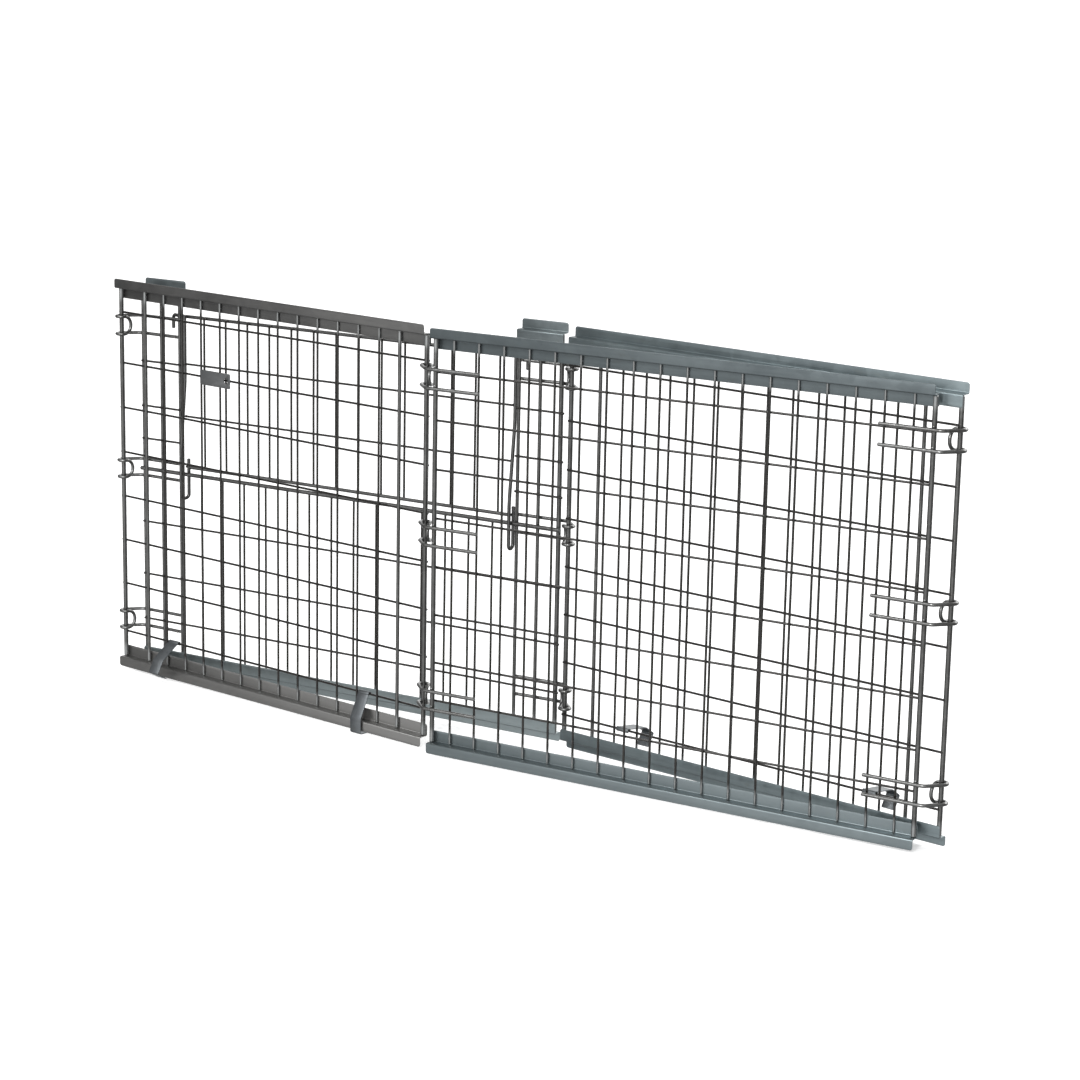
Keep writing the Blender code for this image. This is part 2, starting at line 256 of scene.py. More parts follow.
class ShaderGraph:
    """Node tree of one material or world, written through expressions."""

    def __init__(self, owner: bpy.types.Material | bpy.types.World, shader: str = "Principled BSDF") -> None:
        """Take over the owner's node tree.

        Args:
            owner: Material or world to write.
            shader: Name of the node that the results feed.
        """
        self.owner = owner
        owner.use_nodes = True
        self.tree = owner.node_tree
        self.shader = self.tree.nodes[shader]

    def node(
        self,
        kind: str,
        settings: dict[str, object] | None = None,
        inputs: dict[object, object] | None = None,
        output: int | str = 0,
    ) -> Socket:
        """Add a node, apply its settings, then fill its sockets.

        Args:
            kind: Blender's name for the node type.
            settings: Node properties.
            inputs: Socket names or indices with values or links.
            output: Output socket to return.

        Returns:
            The chosen output as a Socket.
        """
        made = self.tree.nodes.new(kind)
        for key, value in (settings or {}).items():
            setattr(made, key, value)
        for key, value in (inputs or {}).items():
            self.feed(made.inputs[key], value)
        return Socket(self, made.outputs[output])

    def feed(self, target: bpy.types.NodeSocket, value: object) -> None:
        """Link a Socket to an input, or set the input's value."""
        if isinstance(value, Socket):
            self.tree.links.new(value.source, target)
        else:
            target.default_value = value

    def mix(self, factor: object, first: object, second: object) -> Socket:
        """Mix two colours."""
        settings = {"data_type": "RGBA"}
        inputs = {0: factor, 6: first, 7: second}
        return self.node("ShaderNodeMix", settings, inputs, 2)

    def coordinates(self, stretch: tuple[float, float, float] = (1.0, 1.0, 1.0)) -> Socket:
        """Object coordinates, stretched by a Mapping node."""
        plain = self.node("ShaderNodeTexCoord", output="Object")
        return self.node("ShaderNodeMapping", None, {"Vector": plain, "Scale": stretch})

    def noise(self, vector: Socket, scale: float, detail: float = 3.0, rough: float = 0.5) -> Socket:
        """Noise value between 0 and 1."""
        inputs = {"Vector": vector, "Scale": scale, "Detail": detail, "Roughness": rough}
        return self.node("ShaderNodeTexNoise", None, inputs)

    def ramp(self, value: Socket, low: float, high: float) -> Socket:
        """Stretch a value so that low reads 0 and high reads 1."""
        inputs = {"Value": value, "From Min": low, "From Max": high}
        return self.node("ShaderNodeMapRange", None, inputs)

    def height(self, low: float, high: float) -> Socket:
        """Height above the ground, read as 0 at low and 1 at high."""
        place = self.node("ShaderNodeTexCoord", output="Object")
        return self.ramp(self.node("ShaderNodeSeparateXYZ", None, {0: place}, 2), low, high)

    def surface(self, **inputs: object) -> bpy.types.Material | bpy.types.World:
        """Feed the shader's inputs and return the material or world."""
        for key, value in inputs.items():
            self.feed(self.shader.inputs[key.replace("_", " ").title()], value)
        return self.owner


def rgba(colour: Sequence[float], gain: float = 1.0) -> tuple[float, float, float, float]:
    """A colour with alpha, brightened by a gain."""
    return (*(min(1.0, c * gain) for c in colour), 1.0)


@dataclass(frozen=True)
class ZincSheet:
    """Galvanised sheet: spangle crystals, rolling streaks, dull patches and painted light that brightens it
    towards the bottom.
    """

    name: str
    colour: tuple[float, float, float]
    spangle: float = 0.16
    rough: float = 0.34
    metal: float = 0.86
    # Share of painted light that brightens the sheet towards the bottom.
    painted_low_light: float = 0.0

    def make(self) -> bpy.types.Material:
        """Build the material."""
        g = ShaderGraph(bpy.data.materials.new(self.name))
        flat = g.coordinates()
        rolled = g.coordinates((1.2, 6.0, 26.0))
        settings = {"feature": "F1", "distance": "EUCLIDEAN"}
        crystal = g.node("ShaderNodeTexVoronoi", settings, {"Vector": flat, "Scale": 95.0}, "Color")
        crystal = g.node("ShaderNodeSeparateColor", None, {0: crystal}, 0)
        cloud = g.ramp(g.noise(flat, 7.5, 4.0, 0.55), 0.34, 0.68)
        streak = g.ramp(g.noise(rolled, 9.0, 5.0, 0.6), 0.30, 0.72)
        grain = g.noise(flat, 720.0, 2.0)
        stain = g.ramp(g.noise(g.coordinates((1.0, 1.0, 3.0)), 21.0, 6.0, 0.7), 0.60, 0.74)
        light = rgba(self.colour, 1.32)
        dark = rgba([c * t for c, t in zip(self.colour, (0.76, 0.77, 0.79))])
        tone = crystal * self.spangle + cloud * 0.46 + streak * 0.30 + grain * 0.08
        body = g.mix(tone, dark, light)
        warm = rgba([c * t for c, t in zip(self.colour, (0.80, 0.74, 0.66))])
        body = g.mix(stain * 0.45, body, warm)
        # Painted light: the lower part of the sheet is mixed toward a brighter copy of its colour, standing
        # in for light falling on the bottom rails.
        body = g.mix((1.0 - g.height(0.02, 0.50)) * self.painted_low_light, body, rgba(self.colour, 2.4))
        rough = self.rough + crystal * 0.10 + cloud * 0.08 + stain * 0.12 - streak * 0.06
        height = crystal * 0.35 + grain * 0.35 + streak * 0.6
        bump = g.node("ShaderNodeBump", None, {"Height": height, "Strength": 0.22, "Distance": 0.00025})
        return g.surface(base_color=body, roughness=rough, metallic=self.metal, normal=bump)


@dataclass(frozen=True)
class ZincWire:
    """Galvanised drawn wire: dark runs, brighter rubs, fine draw lines and a painted reflection of the rails
    where the wire crosses them.
    """

    name: str
    colour: tuple[float, float, float]
    rough: float = 0.34
    metal: float = 0.88
    coat: float = 0.70
    # Share of painted reflection mixed in where the wire passes in front of the rails.
    painted_rail_reflection: float = 0.75

    def make(self) -> bpy.types.Material:
        """Build the material."""
        g = ShaderGraph(bpy.data.materials.new(self.name))
        flat = g.coordinates()
        patch = g.ramp(g.noise(flat, 34.0, 4.0, 0.6), 0.36, 0.66)
        rub = g.ramp(g.noise(flat, 160.0, 3.0, 0.6), 0.52, 0.70)
        grain = g.noise(flat, 1100.0, 2.0)
        broad = g.ramp(g.noise(flat, 4.0, 2.0), 0.35, 0.65)
        dark = rgba([c * t for c, t in zip(self.colour, (0.66, 0.64, 0.62))])
        light = rgba(self.colour, 1.42)
        tone = patch * 0.45 + broad * 0.30 + grain * 0.15
        body = g.mix(tone, dark, light)
        body = g.mix(rub * 0.35, body, rgba(self.colour, 2.1))
        # Painted reflection: the wire is lightened in the bands where it passes in front of the top and
        # bottom rail flanges.
        rail_reflection_band = g.height(0.547, 0.556) + (1.0 - g.height(0.030, 0.040))
        body = g.mix(rail_reflection_band * self.painted_rail_reflection, body, rgba((0.30, 0.31, 0.31)))
        rough = self.rough + patch * 0.10 - rub * 0.08 + grain * 0.05
        height = grain * 0.5 + patch * 0.3
        bump = g.node("ShaderNodeBump", None, {"Height": height, "Strength": 0.18, "Distance": 0.00015})
        return g.surface(base_color=body, roughness=rough, metallic=self.metal, normal=bump,
                         coat_weight=self.coat, coat_roughness=0.16)


@dataclass(frozen=True)
class WeldScale:
    """Burnt, slightly glassy skin of a resistance weld."""

    name: str = "weld_scale"
    colour: tuple[float, float, float] = (0.060, 0.056, 0.052)

    def make(self) -> bpy.types.Material:
        """Build the material."""
        g = ShaderGraph(bpy.data.materials.new(self.name))
        flat = g.coordinates()
        soot = g.ramp(g.noise(flat, 420.0, 4.0, 0.65), 0.38, 0.64)
        body = g.mix(soot, rgba(self.colour, 0.6), rgba((0.20, 0.195, 0.185)))
        bump = g.node("ShaderNodeBump", None, {"Height": soot, "Strength": 0.3, "Distance": 0.0002})
        return g.surface(base_color=body, roughness=0.42 + soot * 0.2, metallic=0.75, normal=bump)


@dataclass(frozen=True)
class PaleFloor:
    """Plain matt floor with a faint tooth."""

    name: str = "pale_floor"

    def make(self) -> bpy.types.Material:
        """Build the material."""
        g = ShaderGraph(bpy.data.materials.new(self.name))
        tone = g.noise(g.coordinates(), 2.0, 2.0)
        body = g.mix(tone, rgba((0.86, 0.86, 0.86)), rgba((0.90, 0.90, 0.90)))
        return g.surface(base_color=body, roughness=0.9, emission_color=body, emission_strength=0.50)


class Finishes:
    """Every material, made once."""

    def __init__(self) -> None:
        """Make each finish."""
        self.thin = ZincWire("thin_wire_zinc", (0.018, 0.0165, 0.015), rough=0.24).make()
        self.heavy = ZincWire("heavy_wire_zinc", (0.084, 0.085, 0.084), rough=0.27).make()
        self.hinge = ZincWire("hinge_wire_zinc", (0.115, 0.117, 0.116), rough=0.24).make()
        self.bar = ZincWire("door_wire_zinc", (0.074, 0.075, 0.075), rough=0.27).make()
        self.weld = WeldScale().make()
        self.nugget = ZincWire("nugget_zinc", (0.230, 0.235, 0.235), rough=0.30).make()
        self.clip = ZincSheet("clip_zinc", (0.140, 0.150, 0.156), spangle=0.22, rough=0.32).make()
        self.plate = ZincSheet("plate_zinc", (0.115, 0.118, 0.120), spangle=0.25, rough=0.34).make()
        # Painted light: the last number of a rail finish brightens that wall's lower rails.
        self.sheets = {
            Side.FRONT_LEFT: ZincSheet("rail_zinc_front_left", (0.114, 0.113, 0.110), painted_low_light=0.50).make(),
            Side.FRONT_RIGHT: ZincSheet("rail_zinc_front_right", (0.108, 0.126, 0.131), painted_low_light=0.35).make(),
            Side.BACK_RIGHT: ZincSheet("rail_zinc_back_right", (0.180, 0.214, 0.222)).make(),
            Side.BACK_LEFT: ZincSheet("rail_zinc_back_left", (0.160, 0.184, 0.188), painted_low_light=0.25).make(),
        }


# ------------------------------------------------------------------ geometry
def rounded(points: Sequence[Vector], radius: float, steps: int = 5) -> list[Vector]:
    """Round the corners of an open route with short curves.

    Args:
        points: Corner points.
        radius: Longest cut back from a corner.
        steps: Points on each curve.

    Returns:
        The route with curved corners.
    """
    route = [points[0].copy()]
    for before, corner, after in zip(points, points[1:], points[2:]):
        cut = min(radius, (corner - before).length * 0.45, (after - corner).length * 0.45)
        start = corner + (before - corner).normalized() * cut
        stop = corner + (after - corner).normalized() * cut
        for i in range(steps + 1):
            t = i / steps
            route.append(start.lerp(corner, t).lerp(corner.lerp(stop, t), t))
    route.append(points[-1].copy())
    return route


def arc(centre: Vector, first: Vector, second: Vector, radius: float, span: tuple[float, float],
        steps: int) -> list[Vector]:
    """Points on a circle in the plane of two directions.

    Args:
        centre: Centre of the circle.
        first: Direction at 0 degrees.
        second: Direction at 90 degrees.
        radius: Radius.
        span: First and last angle in degrees.
        steps: Number of steps.

    Returns:
        The points in order.
    """
    angles = [math.radians(span[0] + (span[1] - span[0]) * i / steps) for i in range(steps + 1)]
    return [centre + (first * math.cos(a) + second * math.sin(a)) * radius for a in angles]


class Forge:
    """Collects wires, welds and strips of one piece in a wall's local frame."""

    def __init__(self) -> None:
        """Start with an empty mesh."""
        self.bm = bmesh.new()

    def _adopt(self, part: bmesh.types.BMesh, slot: int, smooth: bool = True) -> None:
        """Move a finished part into the piece."""
        for face in part.faces:
            face.material_index = slot
            face.smooth = smooth
        bmesh.ops.recalc_face_normals(part, faces=part.faces)
        carrier = bpy.data.meshes.new("carrier")
        part.to_mesh(carrier)
        part.free()
        self.bm.from_mesh(carrier)
        bpy.data.meshes.remove(carrier)

    def wire(self, points: Sequence[Vector], radius: float, sides: int = 12, slot: int = 0) -> None:
        """Draw a round wire with slightly rounded cut ends along a route.

        Args:
            points: Route of the wire's centre.
            radius: Wire radius.
            sides: Facets round the wire.
            slot: Material slot.
        """
        part = bmesh.new()
        ends = 0.35 * radius
        first = (points[1] - points[0]).normalized()
        last = (points[-1] - points[-2]).normalized()
        stations = [(points[0], first, 0.70), (points[0] + first * ends, first, 1.0)]
        for before, here, after in zip(points, points[1:], points[2:]):
            tangent = ((here - before).normalized() + (after - here).normalized()).normalized()
            stations.append((here, tangent, 1.0))
        stations += [(points[-1] - last * ends, last, 1.0), (points[-1], last, 0.70)]
        reference = UP if abs(first.z) < 0.9 else Vector((0.0, 1.0, 0.0))
        reference = (reference - first * reference.dot(first)).normalized()
        previous, frames = first, []
        for point, tangent, scale in stations:
            reference.rotate(previous.rotation_difference(tangent))
            previous = tangent
            frame = Matrix((reference, tangent.cross(reference), tangent)).transposed().to_4x4()
            frame.translation = point
            frames.append(frame @ Matrix.Scale(scale, 4))
        made = bmesh.ops.create_circle(part, cap_ends=True, segments=sides, radius=radius, matrix=frames[0])
        ring = list({e for v in made["verts"] for e in v.link_edges})
        for old, new in zip(frames, frames[1:]):
            grown = bmesh.ops.extrude_edge_only(part, edges=ring)["geom"]
            fresh = [e for e in grown if isinstance(e, bmesh.types.BMVert)]
            ring = [e for e in grown if isinstance(e, bmesh.types.BMEdge)]
            bmesh.ops.transform(part, matrix=new @ old.inverted(), verts=fresh)
        bmesh.ops.contextual_create(part, geom=ring)
        self._adopt(part, slot)

    def weld(self, point: Vector, size: tuple[float, float, float], slot: int = 2) -> None:
        """Set a small flattened nugget of weld metal.

        Args:
            point: Centre of the nugget.
            size: Half extents along u, n and z.
            slot: Material slot.
        """
        part = bmesh.new()
        shape = Matrix.Translation(point) @ Matrix.Diagonal((*size, 1.0))
        bmesh.ops.create_uvsphere(part, u_segments=8, v_segments=5, radius=1.0, matrix=shape)
        self._adopt(part, slot)

    def strip(self, profile: Sequence[tuple[float, float]], span: tuple[float, float], bend: float,
              corner: float = 0.0) -> None:
        """Fold a sheet through (n, z) points and run it along u as a thin skin.

        Args:
            profile: Fold points of the sheet's middle line.
            span: First and last u.
            bend: Bend radius.
            corner: Radius of the sheet's free corners.
        """
        part = bmesh.new()
        route = rounded([Vector((span[0], n, z)) for n, z in profile], bend)
        tip = bmesh.ops.create_vert(part, co=route[0])["vert"]
        for here, after in zip(route, route[1:]):
            tip = bmesh.ops.extrude_vert_indiv(part, verts=tip)["verts"]
            bmesh.ops.translate(part, verts=tip, vec=after - here)
        grown = bmesh.ops.extrude_edge_only(part, edges=part.edges[:])["geom"]
        fresh = [e for e in grown if isinstance(e, bmesh.types.BMVert)]
        bmesh.ops.translate(part, verts=fresh, vec=(span[1] - span[0], 0.0, 0.0))
        if corner:
            tips = [v for v in part.verts if len(v.link_edges) == 2]
            bmesh.ops.bevel(part, geom=tips, offset=corner, offset_type="OFFSET", segments=4,
                            profile=0.5, affect="VERTICES", material=-1)
        self._adopt(part, 0)

    def finish(self, name: str, frame: WallFrame, materials: Sequence[bpy.types.Material],
               sheet: float = 0.0) -> bpy.types.Object:
        """Set the piece in the row frame and make its object.

        Args:
            name: Object name.
            frame: Wall frame the piece was built in.
            materials: Material slots.
            sheet: Thickness for a piece made of thin skins.

        Returns:
            The object at the origin, with its place in its mesh.
        """
        bmesh.ops.transform(self.bm, matrix=frame.matrix(), verts=self.bm.verts)
        bmesh.ops.recalc_face_normals(self.bm, faces=self.bm.faces)
        mesh = bpy.data.meshes.new(name)
        self.bm.to_mesh(mesh)
        self.bm.free()
        mesh.set_sharp_from_angle(angle=math.radians(38))
        for item in materials:
            mesh.materials.append(item)
        obj = bpy.data.objects.new(name, mesh)
        bpy.context.scene.collection.objects.link(obj)
        if sheet:
            wall = obj.modifiers.new("gauge", "SOLIDIFY")
            wall.thickness, wall.offset, wall.use_even_offset = sheet, 0.0, True
            edge = obj.modifiers.new("sheared_edge", "BEVEL")
            edge.width, edge.segments, edge.limit_method = sheet * 0.22, 2, "ANGLE"
            edge.angle_limit = math.radians(50)
        return obj


def hand_over(obj: bpy.types.Object, body: str, slot: str, *nodes: str) -> None:
    """Let a piece ride on a body and stand for its CAD nodes."""
    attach(obj, body)
    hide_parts(*nodes)
    LOG.info("%s: %d faces, on %s", obj.name, len(obj.data.polygons), body)


# -------------------------------------------------------------------- pieces
@dataclass
class WireGrid:
    """Welded mesh of uprights in front and rows behind."""

    name: str
    side: Side
    uprights: list[tuple[float, float, float, float]]
    rows: list[tuple[float, float, float]]
    finishes: Finishes
    railed: bool = True
    sizes: RingSizes = SIZES
    seed: int = 5
    joggle: tuple[float, float] | None = None

    def build(self) -> bpy.types.Object:
        """Draw every wire and weld every crossing.

        Returns:
            The finished mesh.
        """
        s, forge, rng = self.sizes, Forge(), random.Random(self.seed)
        for u, r, low, high in self.uprights:
            slot = 0 if r <= s.thin else 1
            forge.wire(self._upright(u, r, low, high, rng), r, 12 if r <= s.thin else 16, slot)
        for z, first, last in self.rows:
            forge.wire(self._row(z, first, last, rng), s.thin, 12, 0)
            self._row_welds(forge, z, first, last)
        if self.railed:
            self._rail_welds(forge)
        materials = (self.finishes.thin, self.finishes.heavy, self.finishes.weld, self.finishes.nugget)
        return forge.finish(self.name, LAYOUT.wall(self.side), materials)

    def _upright(self, u: float, r: float, low: float, high: float, rng: random.Random) -> list[Vector]:
        """Route of an upright with the slight bow of drawn wire."""
        bow = 0.25 * MM if r <= self.sizes.thin else 0.0
        count = 5
        route = []
        for i in range(count + 1):
            t = i / count
            drift = rng.uniform(-bow, bow) if 0 < i < count else 0.0
            route.append(Vector((u + drift, self.sizes.face_n + r, low + (high - low) * t)))
        return route

    def _row_n(self) -> float:
        """Distance of a row's centre from the wall plane."""
        return self.sizes.face_n - self.sizes.thin + 0.35 * MM

    def _row(self, z: float, first: float, last: float, rng: random.Random) -> list[Vector]:
        """Route of a row, set back where it passes behind heavy side wires."""
        n = self._row_n()
        if self.joggle is None:
            count = 6
            points = []
            for i in range(count + 1):
                drift = rng.uniform(-0.2, 0.2) * MM if 0 < i < count else 0.0
                points.append(Vector((first + (last - first) * i / count, n, z + drift)))
            return points
        deep = self.sizes.face_n - self.sizes.touch - self.sizes.thin
        a, b = self.joggle
        corners = [(first, deep), (a - 5 * MM, deep), (a + 6 * MM, n), (b - 6 * MM, n), (b + 5 * MM, deep),
                   (last, deep)]
        return rounded([Vector((u, m, z)) for u, m in corners], 4 * MM, 3)

    def _row_welds(self, forge: Forge, z: float, first: float, last: float) -> None:
        """Nuggets where one row meets the uprights."""
        s = self.sizes
        for u, r, low, high in self.uprights:
            if first < u < last and low < z < high:
                size = (min(r, 2.0 * MM) * 0.95, 0.5 * MM, s.thin * 1.05)
                forge.weld(Vector((u, s.face_n + 0.1 * MM, z)), size)

    def _rail_welds(self, forge: Forge) -> None:
        """Nuggets where the uprights meet the rail flanges."""
        s = self.sizes
        low = s.web_low - s.sheet + s.flange * 0.62
        high = s.web_high + s.sheet - s.flange * 0.62
        for u, r, bottom, top in self.uprights:
            for z in (low, high):
                if bottom < z < top:
                    forge.weld(Vector((u, s.face_n, z)), (r * 0.75, 0.3 * MM, 1.2 * MM), 3)


@dataclass
class ZRail:
    """Z-section rail: flange behind the wires, ledge outward, lip beyond it."""

    name: str
    side: Side
    span: tuple[float, float]
    top: bool
    finishes: Finishes
    sizes: RingSizes = SIZES

    def build(self) -> bpy.types.Object:
        """Fold the sheet and cut it to length.

        Returns:
            The finished rail.
        """
        s = self.sizes
        sign = 1.0 if self.top else -1.0
        web = (s.web_high if self.top else s.web_low) + sign * s.sheet / 2
        flange_n = s.face_n - s.touch - s.sheet / 2
        lip_n = s.web - s.sheet / 2
        profile = [
            (flange_n, web - sign * (s.flange - s.sheet / 2)),
            (flange_n, web),
            (lip_n, web),
            (lip_n, web + sign * (s.lip - s.sheet / 2)),
        ]
        forge = Forge()
        forge.strip(profile, self.span, 1.9 * MM, corner=3.2 * MM)
        return forge.finish(self.name, LAYOUT.wall(self.side), (self.finishes.sheets[self.side],), s.sheet)


@dataclass
class CornerHinge:
    """Wire form: two legs on a long wall, looped round the next wall's post."""

    name: str
    side: Side
    at_start: bool
    level: Level
    reach: float
    finishes: Finishes
    rise: float = 0.0
    sizes: RingSizes = SIZES
    clear: float = 0.0013
    run: float = 0.0120
    bow_depth: float = 0.0112
    bow_lean: float = math.radians(75.0)

    def build(self) -> bpy.types.Object:
        """Bend the form and weld it on.

        Returns:
            The finished hinge.
        """
        s = self.sizes
        end = 0.0 if self.at_start else s.long
        way = 1.0 if self.at_start else -1.0
        high, low = (z + self.rise for z in self.level.value)
        loop = s.post + s.hinge + self.clear
        post = Vector((end - way * s.hinge_out, -s.hinge_in, 0.0))
        toward, out = Vector((way, 0.0, 0.0)), Vector((0.0, 1.0, 0.0))
        seat = s.face_n + 2 * s.post + s.hinge + s.touch + 0.1 * MM
        tail = s.face_n + 2 * s.thin + s.hinge + s.touch + 1.8 * MM

        def leg(z: float) -> list[Vector]:
            """One leg from its free end round the post."""
            corner = Vector((end, 0.0, z))
            start = [corner + toward * self.reach + out * tail, corner + out * seat,
                     corner - toward * self.run + out * (seat - 0.6 * MM)]
            around = arc(post + UP * z, toward, out, loop, (130.0, 345.0), 18)
            return rounded(start + around[:1], 4 * MM, 4)[:-1] + around

        upper, lower = leg(high), leg(low)
        lean = toward * math.cos(self.bow_lean) + out * math.sin(self.bow_lean)
        bow = arc((upper[-1] + lower[-1]) / 2, UP * (high - low) / 2, lean * self.bow_depth, 1.0,
                  (0.0, 180.0), 14)[1:-1]
        forge = Forge()
        forge.wire(upper + bow + lower[::-1], s.hinge, 14, 0)
        for z in (high, low):
            front = s.face_n + 2 * s.post
            forge.weld(Vector((end, front, z + 3.4 * MM)), (1.7 * MM, 0.7 * MM, 1.3 * MM), 2)
            forge.weld(Vector((end, front + 0.2 * MM, z)), (2.2 * MM, 0.8 * MM, 2.2 * MM), 1)
            free = Vector((end + way * self.reach * 0.93, s.face_n + 2 * s.thin + 0.9 * MM, z))
            forge.weld(free, (1.9 * MM, 1.3 * MM, 1.6 * MM), 1)
        materials = (self.finishes.hinge, self.finishes.weld, self.finishes.nugget)
        return forge.finish(self.name, LAYOUT.wall(self.side), materials)


@dataclass
class DropDoor:
    """Crossbar and drop-down door of the door wall."""

    finishes: Finishes
    sizes: RingSizes = SIZES
    bar_z: float = 0.3035
    left: float = 0.0750
    right: float = 0.6312
    top: float = 0.5325
    bottom: float = 0.3142
    rows: tuple[float, float] = (0.4650, 0.3885)
    hook_bottom: float = 0.2680
    hook_tip: float = 0.3260
    plane: float = -0.0008
    first_upright: float = 0.1100
    upright_step: float = 0.0382
    uprights: int = 14
    twists: tuple[float, float] = (math.radians(25.0), 0.0)
    hooks: tuple[tuple[float, float], ...] = ((0.0462, 1.0), (0.6432, -1.0))

    @property
    def bar_n(self) -> float:
        """Distance of the crossbar's axis from the wall plane."""
        return self.sizes.face_n - self.sizes.touch - self.sizes.bar

    def crossbar(self) -> bpy.types.Object:
        """Heavy bar the door turns about."""
        s, forge = self.sizes, Forge()
        ends = (-s.post, s.long + 2 * s.post)
        forge.wire([Vector((u, self.bar_n, self.bar_z)) for u in ends], s.bar, 18, 0)
        return forge.finish("crossbar_wire", LAYOUT.wall(Side.BACK_LEFT), (self.finishes.bar,))

    def rod(self, name: str, u: float, twist: float) -> bpy.types.Object:
        """J-shaped side rod that hangs the door on the crossbar.

        Args:
            name: Object name.
            u: Place along the wall.
            twist: Turn of the hooked end toward the wall's end.

        Returns:
            The finished rod.
        """
        s, forge = self.sizes, Forge()
        inner = self.bar_n - s.bar - s.touch - s.heavy
        outer = self.bar_n + s.bar + s.touch + s.heavy
        half = (outer - inner) / 2
        foot_z = self.hook_bottom + half
        straight = [(self.plane, self.top + 3 * MM), (self.plane, 0.4400), (inner, 0.3330), (inner, foot_z)]
        route = rounded([Vector((u, n, z)) for n, z in straight], 12 * MM, 5)[:-1]
        across = Vector((math.tan(twist), 1.0, 0.0)) * half
        foot = Vector((u, inner, foot_z)) + across
        route += arc(foot, -across, -UP * half, 1.0, (0.0, 180.0), 14)
        route.append(foot + across + UP * (self.hook_tip - foot_z))
        forge.wire(route, s.heavy, 16, 0)
        for z in (*self.rows, self.bottom):
            side = 1.0 if u < s.long / 2 else -1.0
            place = Vector((u + side * s.heavy, self.plane - 1.6 * MM, z))
            forge.weld(place, (1.5 * MM, 2.0 * MM, 2.0 * MM), 1)
        materials = (self.finishes.bar, self.finishes.weld)
        return forge.finish(name, LAYOUT.wall(Side.BACK_LEFT), materials)

    def mesh(self) -> bpy.types.Object:
        """Thin uprights, two rows and the heavy bottom wire."""
        s, forge = self.sizes, Forge()
        rng = random.Random(31)
        row_n = self.plane - 2 * s.thin + 0.35 * MM
        low_n = self.plane - s.thin - s.heavy + 0.35 * MM
        clear = s.heavy * 0.6
        span = (self.left + clear, self.right - clear)
        for i in range(self.uprights):
            u = self.first_upright + self.upright_step * i
            middle = u + rng.uniform(-0.3, 0.3) * MM
            half_way = (self.bottom + self.top) / 2
            route = [(u, self.bottom - 1.5 * MM), (middle, half_way), (u, self.top + 2.2 * MM)]
            forge.wire([Vector((a, self.plane, z)) for a, z in route], s.thin, 12, 0)
            for z in self.rows:
                forge.weld(Vector((u, self.plane - s.thin, z)), (1.7 * MM, 0.55 * MM, 1.8 * MM))
            forge.weld(Vector((u, self.plane - s.thin, self.bottom)), (1.8 * MM, 0.7 * MM, 2.2 * MM))
            forge.weld(Vector((u, self.plane + s.thin, self.top)), (1.8 * MM, 0.7 * MM, 2.2 * MM))
        for z in self.rows:
            forge.wire([Vector((u, row_n, z)) for u in span], s.thin, 12, 0)
        low_span = (self.left + 9 * MM, span[1])
        forge.wire([Vector((u, low_n, self.bottom)) for u in low_span], s.heavy, 16, 1)
        materials = (self.finishes.thin, self.finishes.bar, self.finishes.weld)
        return forge.finish("door_grille", LAYOUT.wall(Side.BACK_LEFT), materials)

    def top_wire(self) -> bpy.types.Object:
        """Heavy top wire with a hook bent down at each end."""
        s, forge = self.sizes, Forge()
        near = self.plane + 2 * s.heavy + s.touch
        out = 10.5 * MM
        route: list[Vector] = []
        for u, way in self.hooks:
            corner = [Vector((u, out, self.top - 20 * MM)), Vector((u, out, self.top - 3 * MM)),
                      Vector((u + way * 3 * MM, out, self.top)), Vector((u + way * 12 * MM, near, self.top))]
            route += corner if way > 0 else corner[::-1]
        forge.wire(rounded(route, 5 * MM, 5), s.heavy, 16, 0)
        return forge.finish("door_hook_wire", LAYOUT.wall(Side.BACK_LEFT), (self.finishes.bar,))

    def build(self) -> None:
        """Make every door piece and hand it over."""
        hand_over(self.crossbar(), "pivot_bar", "door_wire", "crossbar")
        for name, u, twist in zip(("left", "right"), (self.left, self.right), self.twists):
            rod = self.rod("door_side_rod_" + name, u, twist)
            hand_over(rod, "door", "door_wire", "door_rod_" + name)
        hand_over(self.mesh(), "door", "door_wire", "door_mesh")
        hand_over(self.top_wire(), "door", "door_wire", "door_top_wire")


@dataclass
class SwingClip:
    """Sheet strap curled on the lowest row; its foot hooks under the rail."""

    node: str
    side: Side
    start: float
    swing: float
    finishes: Finishes
    width: float = 0.0195
    gauge: float = 0.0012
    row_z: float = 0.0545
    knee: float = 0.0335
    foot: float = 0.0205
    sizes: RingSizes = SIZES

    def build(self) -> bpy.types.Object:
        """Fold the strap and turn it about its wire.

        Returns:
            The finished clip.
        """
        s = self.sizes
        row_n = s.face_n + s.touch - s.thin
        ring = s.thin + s.touch + 0.3 * MM + self.gauge / 2
        curl = [(ring * math.cos(math.radians(t)), ring * math.sin(math.radians(t)))
                for t in range(-75, 216, 29)]
        lower = s.web + 3 * MM - row_n
        foot = self.gauge / 2 - self.row_z
        profile = curl[::-1][:-1] + [
            (ring * 1.02, -1.2 * MM), (lower - 1.2 * MM, 3.5 * MM - self.knee), (lower, -self.knee),
            (lower, foot), (lower - self.foot, foot)]
        turn = math.radians(self.swing)
        turned = [(row_n + n * math.cos(turn) - z * math.sin(turn),
                   self.row_z + n * math.sin(turn) + z * math.cos(turn)) for n, z in profile]
        forge = Forge()
        forge.strip(turned, (self.start, self.start + self.width), 2.2 * MM, corner=1.6 * MM)
        return forge.finish(self.node + "_strap", LAYOUT.wall(self.side), (self.finishes.clip,), self.gauge)


